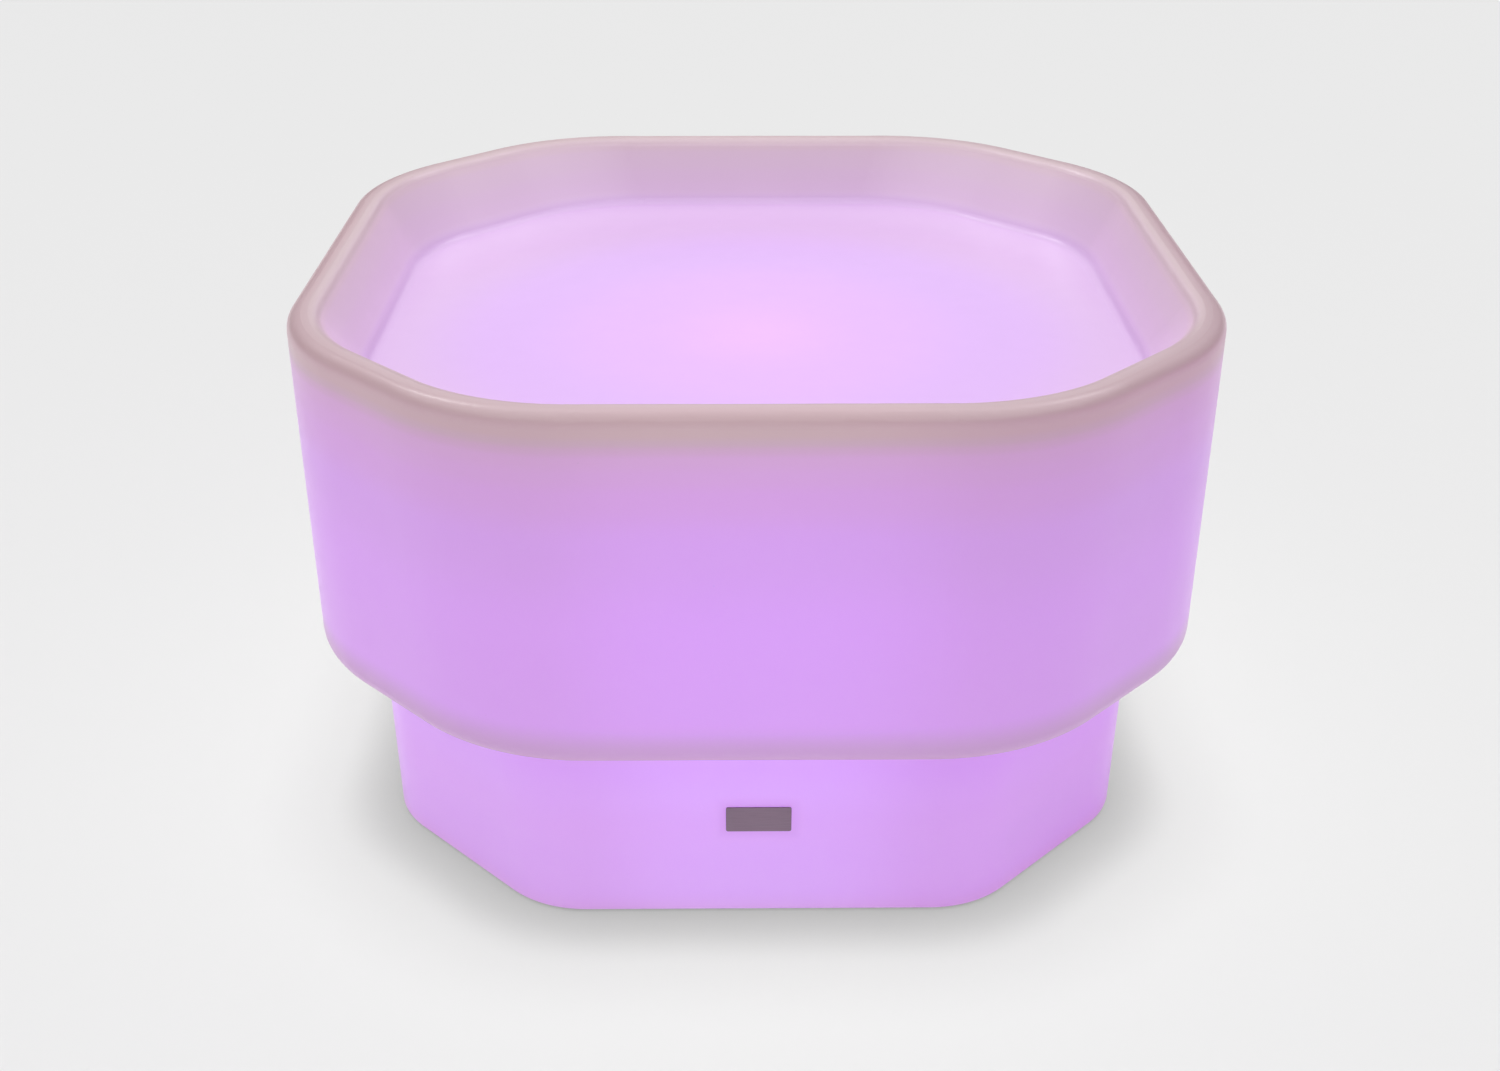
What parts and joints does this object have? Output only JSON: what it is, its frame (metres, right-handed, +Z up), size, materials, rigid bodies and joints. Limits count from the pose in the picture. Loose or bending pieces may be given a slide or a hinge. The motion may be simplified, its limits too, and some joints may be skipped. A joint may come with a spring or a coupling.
{
  "type": "sensory light table",
  "caption": "Floor-standing light table for children: a translucent octagonal tray on a pedestal, lit from inside by a sealed rechargeable light unit.",
  "frame": {"origin": "centre of the base, on the floor that the feet stand on", "axes": "+Z up; -Y is the front, where the badge is; +X to the right as seen from the front"},
  "size_m": [0.6806, 0.6806, 0.428],
  "materials": {
    "glowing_shell": "translucent white plastic, fine matt texture, lit from inside",
    "badge": "bare satin plate",
    "foot_pad": "soft",
    "housing": "moulded",
    "door": "moulded",
    "control_black": "moulded",
    "button": "moulded",
    "soft_seal": "soft",
    "cover": "soft",
    "steel": "bright",
    "brass": "plain",
    "spring_steel": "bright",
    "clear_dome": "clear",
    "light_board": "white coated",
    "led": "lit",
    "receiver": "dark lens",
    "cell_wrap": "shrink wrap",
    "nickel": "plain",
    "holder": "moulded",
    "circuit_board": "lacquered",
    "chip": "moulded",
    "indicator": "frosted lens",
    "wire_red": "insulation",
    "wire_white": "insulation"
  },
  "bodies": {
    "table": {"body_shell": "glowing_shell", "feet": "foot_pad", "badge_plate": "badge", "unit_gasket": "soft_seal", "thread_inserts": "brass", "unit_screws": "steel", "unit_housing": "housing", "dome_seal": "soft_seal", "light_dome": "clear_dome", "dome_screws": "steel", "board_pillars": "brass", "board_screws": "steel", "led_board": "light_board", "leds": "led", "remote_receiver": "receiver", "battery_cells": "cell_wrap", "cell_tabs": "nickel", "battery_holder": "holder", "control_board": "circuit_board", "control_board_screws": "steel", "control_chips": "chip", "battery_door": "door", "door_seal": "soft_seal", "door_screws": "steel", "switch_body": "control_black", "switch_nut": "steel", "button_spring": "spring_steel", "charge_socket": "control_black", "socket_nut": "steel", "socket_contact": "brass", "cover_anchor": "control_black", "hinge_pin": "steel", "status_light": "indicator", "switch_lead": "wire_white", "socket_lead": "wire_red", "status_lead": "wire_white", "led_lead": "wire_white", "battery_lead": "wire_red"},
    "button": {"power_button": "button"},
    "charge_cover": {"port_cover": "cover"}
  },
  "joints": [
    {"name": "power_button_press", "type": "slide", "parent": "table", "child": "button", "axis": [0, 0, 1], "range_m": [0, 0.0015], "stiffness_N_per_m": 500, "springref_m": -0.001, "deforming": ["button_spring"]},
    {"name": "charge_cover_hinge", "type": "hinge", "parent": "table", "child": "charge_cover", "pos_m": [-0.039, -0.04, 0.0072], "axis": [0, 1, 0], "range_deg": [0, 100]}
  ]
}
